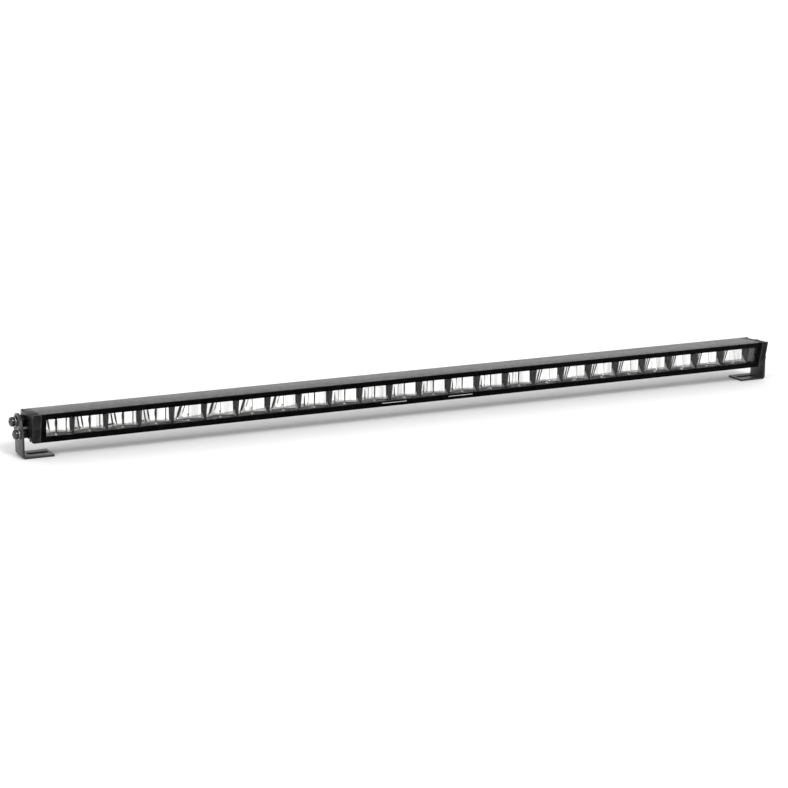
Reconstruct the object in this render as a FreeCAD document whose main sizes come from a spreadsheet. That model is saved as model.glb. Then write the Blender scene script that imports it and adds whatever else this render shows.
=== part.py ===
"""Slim single-row LED light bar on two tilting end brackets, millimetres.

The frame stands on the two bracket feet: +X runs along the bar, +Y to its rear and +Z up, and the
origin is midway between the feet on the surface they stand on. The bar is an aluminium extrusion.
Its lens and bezel lean forward at the top by Dims.lean; floor, rear web and fins stay square to Z.
"""
import FreeCAD, Part
import Sketcher
import os

V = FreeCAD.Vector
doc = FreeCAD.newDocument("light_bar")

# ---------------------------------------------------------------- driving dimensions
DIMENSIONS = {
    # bar section, world Y and Z
    "face_y": 36.25, "face_z": 46.5, "face_high": 44, "lean": 12.46, "top_fall": 3.8, "under_rise": 4.5,
    "rear_y": 26, "bar_half": 615, "roof": 4.2, "floor_z": 31.4,
    "web_inner_y": 10, "web_outer_y": 14, "fin_gaps": 4, "fin_pitch": 6.6, "fin_gap": 4,
    "fin_low_z": 34.2,
    "overrun": 1,
    "port_front_y": -18.5, "port_rear_y": 15, "port_top_y": 20.5, "port_cover": 2.7, "port_radius": 1.9,
    # bezel, lens and seal, measured square to the leaning face
    "bezel_deep": 7, "bezel_lip": 1.5, "window_half": 607.5, "window_top": 13.7, "window_low": 13.9,
    "rebate": 2, "rebate_end": 3, "seal_thick": 1, "lens_thick": 3, "notch": 2.2, "notch_wide": 4,
    "back_bevel": 1.5,
    "line_wide": 42, "line_high": 0.8, "line_deep": 0.15, "line_gap": 36, "line_up": -16.6,
    # reflectors and LED boards
    "row_start": -614.6, "cell_pitch": 50.4, "cups": 4, "modules": 6, "module_gap": 0.3,
    "mirror_front": 7.1, "mirror_low_z": 33.3, "mirror_top_z": 60.9, "mirror_rear_y": -2,
    "mirror_wall": 1.5, "cup_side_y": -12.5, "cup_rear_y": -3.5, "cup_half": 24.5,
    "board_thick": 1.6, "board_front_y": -25, "board_rear_y": 5,
    "chip_side": 3.5, "chip_high": 0.8, "chip_y": -20, "dome": 1.5,
    "screw_y": 1.6, "screw_radius": 1.25, "screw_head": 2.4, "screw_head_high": 1.6,
    "blank_thick": 2, "blank_end": 610,
    # driver
    "driver_x": 440, "driver_long": 170, "driver_low_z": 37, "driver_high": 20, "driver_y": 7.2,
    "coil_pitch": 24, "cap_pitch": 10, "terminal_x": 68,
    "coil_radius": 5, "coil_high": 5.5, "cap_radius": 3.2, "cap_high": 6.5, "chip_box": 9,
    # end caps
    "gasket_thick": 1, "cap_thick": 11, "cap_round": 2, "pivot_boss": 6.6, "lock_boss": 9.2,
    "boss_high": 6.8,
    "dial_y": -17.5, "dial_z": 43.5, "dial_radius": 11, "dial_high": 1.5,
    "gasket_land": 3, "cap_screw_radius": 2, "cap_screw_head": 3.8, "cap_screw_long": 22,
    "cap_screw_sink": 2.4, "insert_radius": 5.4, "insert_long": 14,
    # brackets, bolts and washers
    "pivot_y": -3, "pivot_z": 34, "lock_y": 14, "lock_z": 49, "tilt": 18, "slot_spare": 1,
    "plate_inner": 635, "sheet": 3, "plate_half": 19, "plate_step_z": 36, "plate_step": 8,
    "head_low_angle": 20, "head_high_angle": 30, "head_y": 5.5,
    "head_z": 43.3, "head_radius": 19.5, "bend_radius": 5, "foot_tip": 591, "foot_round": 1.2,
    "foot_slot_x": 611, "foot_slot_long": 32, "foot_slot_half": 4.5, "bolt_radius": 4,
    "pivot_clear": 0.06, "slot_clear": 0.3, "face_gap": 0.1, "bolt_head": 7.2, "bolt_head_high": 5.4,
    "bolt_head_round": 4, "bolt_long": 19, "hex_across": 5, "hex_deep": 2.6, "flat_washer": 8,
    "flat_thick": 1.6, "spring_washer": 6.8, "spring_thick": 2, "spring_cut": 1, "washer_clear": 0.25,
    # breather vent and cable gland on the rear web
    "gland_x": 565, "gland_z": 46, "hole_clear": 0.1, "seat_half": 15, "gland_end_y": 41,
    "gland_flange": 10.5,
    "gland_flange_thick": 5, "gland_thread": 6, "gland_neck": 7.4, "gland_neck_end": 30,
    "gland_bore": 4.5, "cable_radius": 3.5, "seal_radius": 6.2, "nut_across": 18, "nut_thick": 2.6,
    "nut_start_y": 22,
    "neck_floor_y": 25, "seal_start_y": 27, "seal_end_y": 35, "nut_floor_y": 36, "ring_thick": 1.2,
    "ring_inset": 0.8,
    "gland_shoulder": 1, "gland_nose": 1.5,
    "vent_x": -565, "vent_radius": 6, "vent_head": 8.5, "vent_high": 8, "vent_core": 3.5,
    "vent_wall": 1, "vent_bevel": 2, "vent_mouth": 3, "membrane_thick": 1,
}
sheet = doc.addObject("Spreadsheet::Sheet", "Dims")
for row, (word, value) in enumerate(DIMENSIONS.items(), start=1):
    sheet.set(f"A{row}", word)
    sheet.set(f"B{row}", str(value))
    sheet.setAlias(f"B{row}", word)
doc.recompute()


# ---------------------------------------------------------------- places, as expressions
FACE_Y = "(-Dims.face_y)"


def lean_y(depth, up):
    """World Y of a point this deep behind the leaning face and this far up it from its middle."""
    return f"({FACE_Y} + ({depth})*cos(Dims.lean) - ({up})*sin(Dims.lean))"


def lean_z(depth, up):
    """World Z of the same point."""
    return f"(Dims.face_z + ({depth})*sin(Dims.lean) + ({up})*cos(Dims.lean))"


def top_up(depth):
    """How far up the face the bar's top surface is, this deep behind the face."""
    return f"(Dims.face_high/2 - ({depth})*tan(Dims.lean + Dims.top_fall))"


def under_up(depth):
    """How far up the face the bar's underside is, this deep behind the face."""
    return f"(-Dims.face_high/2 - ({depth})*tan(Dims.lean - Dims.under_rise))"


def front_y(depth, z):
    """World Y, at height z, of the plane this deep behind the leaning face."""
    return f"({FACE_Y} + ({depth})/cos(Dims.lean) - (({z}) - Dims.face_z)*tan(Dims.lean))"


FACE_TOP_Y = lean_y("0", "Dims.face_high/2")
FACE_TOP_Z = lean_z("0", "Dims.face_high/2")
FACE_LOW_Y = lean_y("0", "-Dims.face_high/2")
FACE_LOW_Z = lean_z("0", "-Dims.face_high/2")


def top_z(y):
    """World Z of the bar's top surface at world Y."""
    return f"({FACE_TOP_Z} - (({y}) - {FACE_TOP_Y})*tan(Dims.top_fall))"


def under_z(y):
    """World Z of the bar's underside at world Y."""
    return f"({FACE_LOW_Z} + (({y}) - {FACE_LOW_Y})*tan(Dims.under_rise))"


def value(expression):
    """The number an expression gives."""
    result = sheet.evalExpression(expression)
    return float(getattr(result, "Value", result))


# ---------------------------------------------------------------- modelling helpers
TURN = {
    "X": FreeCAD.Rotation(V(1, 1, 1), 120),
    "Y": FreeCAD.Rotation(V(1, 0, 0), -90),
    "Z": FreeCAD.Rotation(),
}
LEAN = FreeCAD.Placement(V(0, value(FACE_Y), value("Dims.face_z")),
                         FreeCAD.Rotation(V(1, 0, 0), value("Dims.lean")))
subparts = []


def keep(item, label):
    """Give a finished sub-part the name of its file."""
    item.Label = label
    subparts.append(item)
    return item


def bind(item, **rules):
    """Bind properties to expressions; x, y and z stand for the place."""
    for name, rule in rules.items():
        path = f".Placement.Base.{name}" if name in ("x", "y", "z") else name
        item.setExpression(path, rule)
    return item


def new_body(name, placement=None):
    """A PartDesign body at the given placement."""
    body = doc.addObject("PartDesign::Body", name)
    if placement:
        body.Placement = placement
    return body


def sketch_on(body, plane, offset="0"):
    """A sketch on one of the body's origin planes, moved along the plane's normal."""
    sketch = body.newObject("Sketcher::SketchObject", f"{body.Name}_sketch")
    support = [feature for feature in body.Origin.OriginFeatures if feature.Role == f"{plane}_Plane"]
    sketch.AttachmentSupport = [(support[0], "")]
    sketch.MapMode = "FlatFace"
    sketch.setExpression("AttachmentOffset.Base.z", offset)
    return sketch


def pin(sketch, geometry, end, across, up):
    """Hold one point of a sketch at a place given by two expressions."""
    for kind, rule in (("DistanceX", across), ("DistanceY", up)):
        index = sketch.addConstraint(Sketcher.Constraint(kind, -1, 1, geometry, end, value(rule)))
        sketch.setExpression(f"Constraints[{index}]", rule)


def outline(sketch, corners):
    """A closed polygon with every corner pinned."""
    places = [V(value(across), value(up), 0) for across, up in corners]
    first = sketch.GeometryCount
    for here, there in zip(places, places[1:] + places[:1]):
        sketch.addGeometry(Part.LineSegment(here, there), False)
    for index in range(len(corners)):
        following = first + (index + 1) % len(corners)
        sketch.addConstraint(Sketcher.Constraint("Coincident", first + index, 2, following, 1))
    for index, (across, up) in enumerate(corners):
        pin(sketch, first + index, 1, across, up)
    return sketch


def rectangle(sketch, left, low, right, high):
    """An upright rectangle between two corners."""
    return outline(sketch, [(left, low), (right, low), (right, high), (left, high)])


def circle(sketch, across, up, radius):
    """A circle with its centre pinned and its radius bound."""
    centre = V(value(across), value(up), 0)
    index = sketch.addGeometry(Part.Circle(centre, V(0, 0, 1), value(radius)), False)
    pin(sketch, index, 3, across, up)
    rule = sketch.addConstraint(Sketcher.Constraint("Radius", index, value(radius)))
    sketch.setExpression(f"Constraints[{rule}]", radius)
    return sketch


def hexagon(sketch, across_flats):
    """A regular hexagon about the sketch's origin."""
    reach = f"({across_flats})/2/cos(30)"
    corners = [(f"{reach}*cos({60 * side})", f"{reach}*sin({60 * side})") for side in range(6)]
    return outline(sketch, corners)


def pad(body, sketch, length, middle=False, back=False):
    """Pad a sketch; middle centres it on the sketch, back turns it against the normal."""
    feature = body.newObject("PartDesign::Pad", f"{body.Name}_pad")
    feature.Profile = sketch
    feature.SideType = "Symmetric" if middle else "One side"
    feature.Reversed = back
    feature.setExpression("Length", length)
    return feature


def pocket(body, sketch, length, middle=False, back=False):
    """Cut a sketch out of the body and make sure that it removed something."""
    doc.recompute()
    before = body.Shape.Volume
    feature = body.newObject("PartDesign::Pocket", f"{body.Name}_pocket")
    feature.Profile = sketch
    feature.SideType = "Symmetric" if middle else "One side"
    feature.Reversed = back
    feature.setExpression("Length", length)
    doc.recompute()
    if body.Shape.Volume > before - 1e-3:
        raise RuntimeError(f"{feature.Name} cut nothing")
    return feature


def revolve(body, sketch, axis="H_Axis"):
    """Turn a profile all the way round one of its sketch's axes."""
    feature = body.newObject("PartDesign::Revolution", f"{body.Name}_turned")
    feature.Profile = sketch
    feature.ReferenceAxis = (sketch, [axis])
    feature.Angle = 360
    return feature


def repeat(body, feature, axis, length, count):
    """Repeat a feature in a line along an axis of its sketch."""
    pattern = body.newObject("PartDesign::LinearPattern", f"{body.Name}_row")
    pattern.Originals = [feature]
    pattern.Direction = (feature.Profile[0], [axis])
    pattern.setExpression("Length", length)
    pattern.setExpression("Occurrences", count)
    body.Tip = pattern
    return pattern


def round_edges(body, feature, radius, test):
    """Round the edges that pass a test."""
    doc.recompute()
    names = [f"Edge{number}" for number, edge in enumerate(feature.Shape.Edges, 1) if test(edge)]
    if not names:
        raise RuntimeError(f"{body.Name} has no edge to round")
    fillet = body.newObject("PartDesign::Fillet", f"{body.Name}_rounded")
    fillet.Base = (feature, names)
    fillet.setExpression("Radius", radius)
    body.Tip = fillet
    return fillet


def block(name, corner, size):
    """A box primitive from its low corner and its three sizes."""
    item = doc.addObject("Part::Box", name)
    x, y, z = corner
    length, width, height = size
    return bind(item, Length=length, Width=width, Height=height, x=x, y=y, z=z)


def rod(name, axis, radius, length, foot):
    """A cylinder primitive along X, Y or Z from the middle of its first end."""
    item = doc.addObject("Part::Cylinder", name)
    item.Placement = FreeCAD.Placement(V(), TURN[axis])
    x, y, z = foot
    return bind(item, Radius=radius, Height=length, x=x, y=y, z=z)


def cut(name, base, tool):
    """The base without the tool."""
    item = doc.addObject("Part::Cut", name)
    item.Base = base
    item.Tool = tool
    return item


def fuse(name, pieces):
    """Pieces joined into one solid."""
    item = doc.addObject("Part::MultiFuse", name)
    item.Shapes = pieces
    item.Refine = True
    return item


def group(name, pieces):
    """Separate solids that share one node."""
    item = doc.addObject("Part::Compound", name)
    item.Links = pieces
    return keep(item, name)


def is_along(edge, axis):
    """Whether an edge is a straight one along the axis."""
    if edge.Curve.TypeId != "Part::GeomLine":
        return False
    return abs(abs(edge.tangentAt(edge.FirstParameter).dot(axis)) - 1) < 1e-6


SIDES = {"left": -1, "right": 1}


# ---------------------------------------------------------------- housing
HOUSING_TOP = [
    (lean_y("Dims.bezel_deep", top_up("Dims.bezel_deep") + " - Dims.notch"),
     lean_z("Dims.bezel_deep", top_up("Dims.bezel_deep") + " - Dims.notch")),
    (lean_y("Dims.bezel_deep + Dims.notch_wide", top_up("Dims.bezel_deep + Dims.notch_wide")),
     lean_z("Dims.bezel_deep + Dims.notch_wide", top_up("Dims.bezel_deep + Dims.notch_wide"))),
    ("Dims.rear_y", top_z("Dims.rear_y")),
]
HOUSING_LOW = [
    ("Dims.rear_y", under_z("Dims.rear_y")),
    (lean_y("Dims.bezel_deep", under_up("Dims.bezel_deep")),
     lean_z("Dims.bezel_deep", under_up("Dims.bezel_deep"))),
]
ROOF_FRONT_Z = lean_z("Dims.bezel_deep", "Dims.window_top + Dims.rebate")
CAVITY = [
    (front_y("Dims.bezel_deep", ROOF_FRONT_Z), ROOF_FRONT_Z),
    (front_y("Dims.bezel_deep", "Dims.floor_z"), "Dims.floor_z"),
    ("Dims.web_inner_y", "Dims.floor_z"),
    ("Dims.web_inner_y", top_z("Dims.web_inner_y") + " - Dims.roof"),
]
# screw ports that run the length of the extrusion: two in its underside and one in its top
PORTS = [
    ("Dims.port_front_y", under_z("Dims.port_front_y") + " + Dims.port_cover"),
    ("Dims.port_rear_y", under_z("Dims.port_rear_y") + " + Dims.port_cover"),
    ("Dims.port_top_y", top_z("Dims.port_top_y") + " - Dims.port_cover"),
]
FIN_TOP_Z = "(Dims.fin_low_z + (Dims.fin_gaps - 1)*Dims.fin_pitch + Dims.fin_gap)"


def build_housing():
    """Extruded body: roof, thick floor that carries the LED boards, rear web and four fin gaps."""
    body = new_body("housing")
    pad(body, outline(sketch_on(body, "YZ"), HOUSING_TOP + HOUSING_LOW), "2*Dims.bar_half", middle=True)
    mouth = [(front_y("0", ROOF_FRONT_Z), ROOF_FRONT_Z), (front_y("0", "Dims.floor_z"), "Dims.floor_z")]
    pocket(body, outline(sketch_on(body, "YZ"), mouth + CAVITY[2:]), "2*Dims.bar_half", middle=True)
    ports = sketch_on(body, "YZ")
    for across, up in PORTS:
        circle(ports, across, up, "Dims.port_radius")
    pocket(body, ports, "2*Dims.bar_half", middle=True)
    fins = rectangle(sketch_on(body, "YZ"), "Dims.web_outer_y", "Dims.fin_low_z",
                     "Dims.rear_y + Dims.overrun", "Dims.fin_low_z + Dims.fin_gap")
    gap = pocket(body, fins, "2*Dims.bar_half", middle=True)
    repeat(body, gap, "V_Axis", "(Dims.fin_gaps - 1)*Dims.fin_pitch", "Dims.fin_gaps")
    for middle in ("Dims.gland_x", "Dims.vent_x"):
        seat = rectangle(sketch_on(body, "XZ", "-Dims.web_outer_y"), f"{middle} - Dims.seat_half",
                         "Dims.fin_low_z", f"{middle} + Dims.seat_half", FIN_TOP_Z)
        pocket(body, seat, "Dims.rear_y")
    holes = sketch_on(body, "XZ", "-Dims.web_outer_y - Dims.overrun")
    circle(holes, "Dims.gland_x", "Dims.gland_z", "Dims.gland_thread + Dims.hole_clear")
    circle(holes, "Dims.vent_x", "Dims.gland_z", "Dims.vent_radius + Dims.hole_clear")
    pocket(body, holes, "Dims.web_outer_y - Dims.web_inner_y + 2*Dims.overrun", back=True)
    return keep(body, "housing")


# ---------------------------------------------------------------- bezel, lens and face seal
LINE_MIDDLES = ["(-Dims.line_gap - Dims.line_wide/2)", "(Dims.line_gap + Dims.line_wide/2)"]


def build_bezel():
    """Black frame round the window: two rails and two ends, with a rebate behind for the lens."""
    rear, top, low = "Dims.bezel_deep", "Dims.window_top", "-Dims.window_low"
    back_bevel = (f"{rear} - Dims.back_bevel", top_up(f"{rear} - Dims.back_bevel"))
    rails = {
        "bezel_top_rail": [
            ("0", top), ("Dims.bezel_lip", top), ("Dims.bezel_lip", f"{top} + Dims.rebate"),
            (rear, f"{top} + Dims.rebate"), (rear, top_up(rear) + " - Dims.notch"),
            back_bevel, ("0", "Dims.face_high/2")],
        "bezel_bottom_rail": [
            ("0", low), ("0", "-Dims.face_high/2"), (rear, under_up(rear)),
            (rear, f"{low} - Dims.rebate"), ("Dims.bezel_lip", f"{low} - Dims.rebate"),
            ("Dims.bezel_lip", low)],
    }
    for name, section in rails.items():
        body = new_body(name, LEAN)
        pad(body, outline(sketch_on(body, "YZ"), section), "2*Dims.window_half", middle=True)
        if name == "bezel_bottom_rail":
            lines = sketch_on(body, "XZ", "0")
            for middle in LINE_MIDDLES:
                rectangle(lines, f"{middle} - Dims.line_wide/2", "Dims.line_up",
                          f"{middle} + Dims.line_wide/2", "Dims.line_up + Dims.line_high")
            pocket(body, lines, "Dims.line_deep")
        keep(body, name)
    for name, side in SIDES.items():
        body = new_body(f"bezel_{name}_end", LEAN)
        section = [
            ("0", "Dims.face_high/2"), ("0", "-Dims.face_high/2"), (rear, under_up(rear)),
            (rear, top_up(rear) + " - Dims.notch"), back_bevel,
        ]
        start = f"{side}*Dims.window_half"
        pad(body, outline(sketch_on(body, "YZ", start), section), "Dims.bar_half - Dims.window_half",
            back=side < 0)
        rebate = rectangle(sketch_on(body, "YZ", start), "Dims.bezel_lip", f"{low} - Dims.rebate",
                           "Dims.bezel_deep + Dims.overrun", f"{top} + Dims.rebate")
        pocket(body, rebate, "2*Dims.rebate_end", middle=True)
        keep(body, f"bezel_{name}_end")


def build_lines():
    """Two thin pale inlays in the bezel under the window."""
    pieces = []
    for middle in LINE_MIDDLES:
        body = new_body("bezel_line", LEAN)
        inlay = rectangle(sketch_on(body, "XZ"), f"{middle} - Dims.line_wide/2", "Dims.line_up",
                          f"{middle} + Dims.line_wide/2", "Dims.line_up + Dims.line_high")
        pad(body, inlay, "Dims.line_deep", back=True)
        pieces.append(body)
    return group("bezel_lines", pieces)


def lens_plate(body, depth, thick):
    """A plate that fills the bezel's rebate."""
    plate = rectangle(sketch_on(body, "XZ", f"-({depth})"),
                      "-Dims.window_half - Dims.rebate_end", "-Dims.window_low - Dims.rebate",
                      "Dims.window_half + Dims.rebate_end", "Dims.window_top + Dims.rebate")
    return pad(body, plate, thick, back=True)


def build_lens_and_seal():
    """Clear lens pressed against a foam seal behind the bezel's lip."""
    seal = new_body("lens_seal", LEAN)
    lens_plate(seal, "Dims.bezel_lip", "Dims.seal_thick")
    window = rectangle(sketch_on(seal, "XZ", "0"), "-Dims.window_half", "-Dims.window_low",
                       "Dims.window_half", "Dims.window_top")
    pocket(seal, window, "Dims.bezel_deep")
    lens = new_body("lens", LEAN)
    lens_plate(lens, "Dims.bezel_lip + Dims.seal_thick", "Dims.lens_thick")
    return [keep(seal, "lens_seal"), keep(lens, "lens")]


# ---------------------------------------------------------------- reflectors, boards and LEDs
MODULE_LONG = "(Dims.cups*Dims.cell_pitch)"
MODULES = range(int(DIMENSIONS["modules"]))
CELLS = range(int(DIMENSIONS["cups"]))


def module_start(number):
    """World X where a module begins."""
    return f"(Dims.row_start + {number}*{MODULE_LONG})"


def cell_middle(number, cell):
    """World X of the middle of a cell."""
    return f"({module_start(number)} + ({cell} + 0.5)*Dims.cell_pitch)"


def build_reflector(number):
    """Four bright cups side by side, each open to the front and over its LED."""
    body = new_body(f"reflector_{number + 1}")
    front_low = front_y("Dims.mirror_front", "Dims.mirror_low_z")
    front_top = front_y("Dims.mirror_front", "Dims.mirror_top_z")
    section = [(front_low, "Dims.mirror_low_z"), ("Dims.mirror_rear_y", "Dims.mirror_low_z"),
               ("Dims.mirror_rear_y", "Dims.mirror_top_z"), (front_top, "Dims.mirror_top_z")]
    middle = f"{module_start(number)} + {MODULE_LONG}/2"
    pad(body, outline(sketch_on(body, "YZ", middle), section),
        f"{MODULE_LONG} - Dims.module_gap", middle=True)
    centre = cell_middle(number, 0)
    cup = sketch_on(body, "XY", "Dims.mirror_low_z - Dims.overrun")
    left, right = f"{centre} - Dims.cup_half", f"{centre} + Dims.cup_half"
    front = "-Dims.face_y - 5*Dims.overrun"
    places = [(left, "Dims.cup_side_y"), (left, front), (right, front), (right, "Dims.cup_side_y")]
    points = [V(value(across), value(up), 0) for across, up in places]
    for here, there in zip(points, points[1:]):
        cup.addGeometry(Part.LineSegment(here, there), False)
    crown = V(value(centre), value("Dims.cup_rear_y"), 0)
    cup.addGeometry(Part.Arc(points[3], crown, points[0]), False)
    for edge in (0, 1):
        cup.addConstraint(Sketcher.Constraint("Coincident", edge, 2, edge + 1, 1))
    cup.addConstraint(Sketcher.Constraint("Coincident", 2, 2, 3, 1))
    cup.addConstraint(Sketcher.Constraint("Coincident", 3, 2, 0, 1))
    for edge, end, place in ((0, 1, 0), (0, 2, 1), (1, 2, 2), (2, 2, 3)):
        pin(cup, edge, end, *places[place])
    rise = "(Dims.cup_rear_y - Dims.cup_side_y)"
    radius = f"(Dims.cup_half*Dims.cup_half + {rise}*{rise})/(2*{rise})"
    rule = cup.addConstraint(Sketcher.Constraint("Radius", 3, value(radius)))
    cup.setExpression(f"Constraints[{rule}]", radius)
    hollow = pocket(body, cup, "Dims.mirror_top_z - Dims.mirror_wall - Dims.mirror_low_z + Dims.overrun",
                    back=True)
    repeat(body, hollow, "H_Axis", "(Dims.cups - 1)*Dims.cell_pitch", "Dims.cups")
    return keep(body, f"reflector_{number + 1}")


def board_screw_places(number):
    """World X of the two screws that hold a board."""
    return [f"{module_start(number)} + {share}*{MODULE_LONG}" for share in ("0.25", "0.75")]


def build_board(number):
    """Aluminium-core LED board that lies on the housing's floor."""
    body = new_body(f"led_board_{number + 1}")
    plate = sketch_on(body, "XY", "Dims.floor_z")
    rectangle(plate, f"{module_start(number)} + Dims.module_gap", "Dims.board_front_y",
              f"{module_start(number)} + {MODULE_LONG} - Dims.module_gap", "Dims.board_rear_y")
    for across in board_screw_places(number):
        circle(plate, across, "Dims.screw_y", "Dims.screw_radius")
    pad(body, plate, "Dims.board_thick")
    return keep(body, f"led_board_{number + 1}")


BOARD_TOP = "(Dims.floor_z + Dims.board_thick)"


def build_leds():
    """One white emitter with a domed lens in each cell."""
    pieces = []
    for number in MODULES:
        for cell in CELLS:
            middle = cell_middle(number, cell)
            corner = (f"{middle} - Dims.chip_side/2", "Dims.chip_y - Dims.chip_side/2", BOARD_TOP)
            base = block("led_base", corner, ("Dims.chip_side", "Dims.chip_side", "Dims.chip_high"))
            dome = doc.addObject("Part::Sphere", "led_dome")
            dome.Angle1 = 0
            bind(dome, Radius="Dims.dome", x=middle, y="Dims.chip_y", z=f"{BOARD_TOP} + Dims.chip_high")
            pieces.append(fuse("led", [base, dome]))
    return group("leds", pieces)


def build_board_screws():
    """Two screws through each LED board."""
    pieces = []
    for number in MODULES:
        for across in board_screw_places(number):
            head = rod("board_screw_head", "Z", "Dims.screw_head", "Dims.screw_head_high",
                       (across, "Dims.screw_y", BOARD_TOP))
            shank = rod("board_screw_shank", "Z", "Dims.screw_radius", "Dims.board_thick",
                        (across, "Dims.screw_y", "Dims.floor_z"))
            pieces.append(fuse("board_screw", [head, shank]))
    return group("board_screws", pieces)


def build_blank():
    """Dark cover between the last cup and the end of the window."""
    body = new_body("end_blank", LEAN)
    start = f"{module_start(len(MODULES))} + Dims.module_gap"
    plate = rectangle(sketch_on(body, "XZ", "-Dims.mirror_front"), start, "-Dims.window_low",
                      "Dims.blank_end", "Dims.window_top")
    pad(body, plate, "Dims.blank_thick", back=True)
    return keep(body, "end_blank")


# ---------------------------------------------------------------- driver
def build_driver():
    """Constant-current driver: a board on edge before the rear web, with its larger components."""
    corner = ("Dims.driver_x - Dims.driver_long/2", "Dims.driver_y", "Dims.driver_low_z")
    board = block("driver_board", corner, ("Dims.driver_long", "Dims.board_thick", "Dims.driver_high"))
    middle_z = "Dims.driver_low_z + Dims.driver_high/2"
    coil_y = "Dims.driver_y - Dims.coil_high"
    pieces = []
    for step in (-2, -1, 1, 2):
        pieces.append(rod("coil", "Y", "Dims.coil_radius", "Dims.coil_high",
                          (f"Dims.driver_x + {step}*Dims.coil_pitch", coil_y, middle_z)))
    for step in (-1, 0, 1):
        pieces.append(rod("capacitor", "Y", "Dims.cap_radius", "Dims.cap_high",
                          (f"Dims.driver_x + {step}*Dims.cap_pitch", "Dims.driver_y - Dims.cap_high", middle_z)))
    for step in (-1, 1):
        corner = (f"Dims.driver_x + {step}*Dims.terminal_x - Dims.chip_box/2", coil_y,
                  f"{middle_z} - Dims.chip_box/2")
        pieces.append(block("terminal", corner, ("Dims.chip_box", "Dims.coil_high", "Dims.chip_box")))
    return [keep(board, "driver_board"), group("driver_components", pieces)]


# ---------------------------------------------------------------- end caps
CAP_OUTLINE = [
    (FACE_TOP_Y, FACE_TOP_Z),
    (lean_y("Dims.bezel_deep - Dims.back_bevel", top_up("Dims.bezel_deep - Dims.back_bevel")),
     lean_z("Dims.bezel_deep - Dims.back_bevel", top_up("Dims.bezel_deep - Dims.back_bevel"))),
] + HOUSING_TOP + HOUSING_LOW[:1] + [(FACE_LOW_Y, FACE_LOW_Z)]


SHORTEST_ROUNDED = 8  # the cap's small bevel edges stay sharp


def build_cap_gasket(name, side):
    """Rubber gasket between an end cap and the end of the housing."""
    body = new_body(f"{name}_cap_gasket")
    start = f"{side}*Dims.bar_half"
    pad(body, outline(sketch_on(body, "YZ", start), CAP_OUTLINE), "Dims.gasket_thick", back=side < 0)
    low = "Dims.floor_z"
    high = lean_z("Dims.gasket_land", "Dims.window_top")
    hole = [(front_y("Dims.gasket_land", high), high), (front_y("Dims.gasket_land", low), low),
            ("Dims.web_inner_y", low), ("Dims.web_inner_y", high)]
    pocket(body, outline(sketch_on(body, "YZ", start), hole), "3*Dims.gasket_thick", middle=True)
    ports = sketch_on(body, "YZ", start)
    for across, up in PORTS:
        circle(ports, across, up, "Dims.cap_screw_radius")
    pocket(body, ports, "3*Dims.gasket_thick", middle=True)
    return keep(body, f"{name}_cap_gasket")


def build_cap(name, side):
    """Die-cast end cap with two round bosses for the pivot and the lock bolt."""
    body = new_body(f"{name}_end_cap")
    inner = f"{side}*(Dims.bar_half + Dims.gasket_thick)"
    outer = f"{side}*(Dims.bar_half + Dims.gasket_thick + Dims.cap_thick)"
    away = side < 0
    plate = pad(body, outline(sketch_on(body, "YZ", inner), CAP_OUTLINE), "Dims.cap_thick", back=away)
    doc.recompute()
    outer_x = value(outer)
    round_edges(body, plate, "Dims.cap_round",
                lambda edge: all(abs(vertex.X - outer_x) < 1e-6 for vertex in edge.Vertexes)
                and edge.Length > SHORTEST_ROUNDED)
    bosses = (("Dims.pivot_y", "Dims.pivot_z", "Dims.pivot_boss", "Dims.boss_high"),
              ("Dims.lock_y", "Dims.lock_z", "Dims.lock_boss", "Dims.boss_high"),
              ("Dims.dial_y", "Dims.dial_z", "Dims.dial_radius", "Dims.dial_high"))
    for across, up, radius, high in bosses:
        pad(body, circle(sketch_on(body, "YZ", outer), across, up, radius), high, back=away)
    holes = sketch_on(body, "YZ", f"({outer} + {side}*Dims.boss_high)")
    circle(holes, "Dims.pivot_y", "Dims.pivot_z", "Dims.insert_radius")
    circle(holes, "Dims.lock_y", "Dims.lock_z", "Dims.insert_radius")
    pocket(body, holes, "Dims.insert_long", back=away)
    ports = sketch_on(body, "YZ", outer)
    sinks = sketch_on(body, "YZ", outer)
    for across, up in PORTS:
        circle(ports, across, up, "Dims.cap_screw_radius")
        circle(sinks, across, up, "Dims.cap_screw_head")
    pocket(body, ports, "Dims.cap_thick", back=away)
    pocket(body, sinks, "Dims.cap_screw_sink", back=away)
    return keep(body, f"{name}_end_cap")


def build_cap_screws(name, side):
    """Three pan-head screws that hold a cap to the housing's ports."""
    pieces = []
    face = f"{side}*(Dims.bar_half + Dims.gasket_thick + Dims.cap_thick)"
    for across, up in PORTS:
        head = rod("cap_screw_head", "X", "Dims.cap_screw_head", "Dims.cap_screw_sink",
                   (f"{face} - {(side + 1)//2}*Dims.cap_screw_sink", across, up))
        shank = rod("cap_screw_shank", "X", "Dims.port_radius", "Dims.cap_screw_long",
                    (f"{face} - {side}*Dims.cap_screw_long/2 - Dims.cap_screw_long/2", across, up))
        pieces.append(fuse("cap_screw", [head, shank]))
    return group(f"{name}_cap_screws", pieces)


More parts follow.
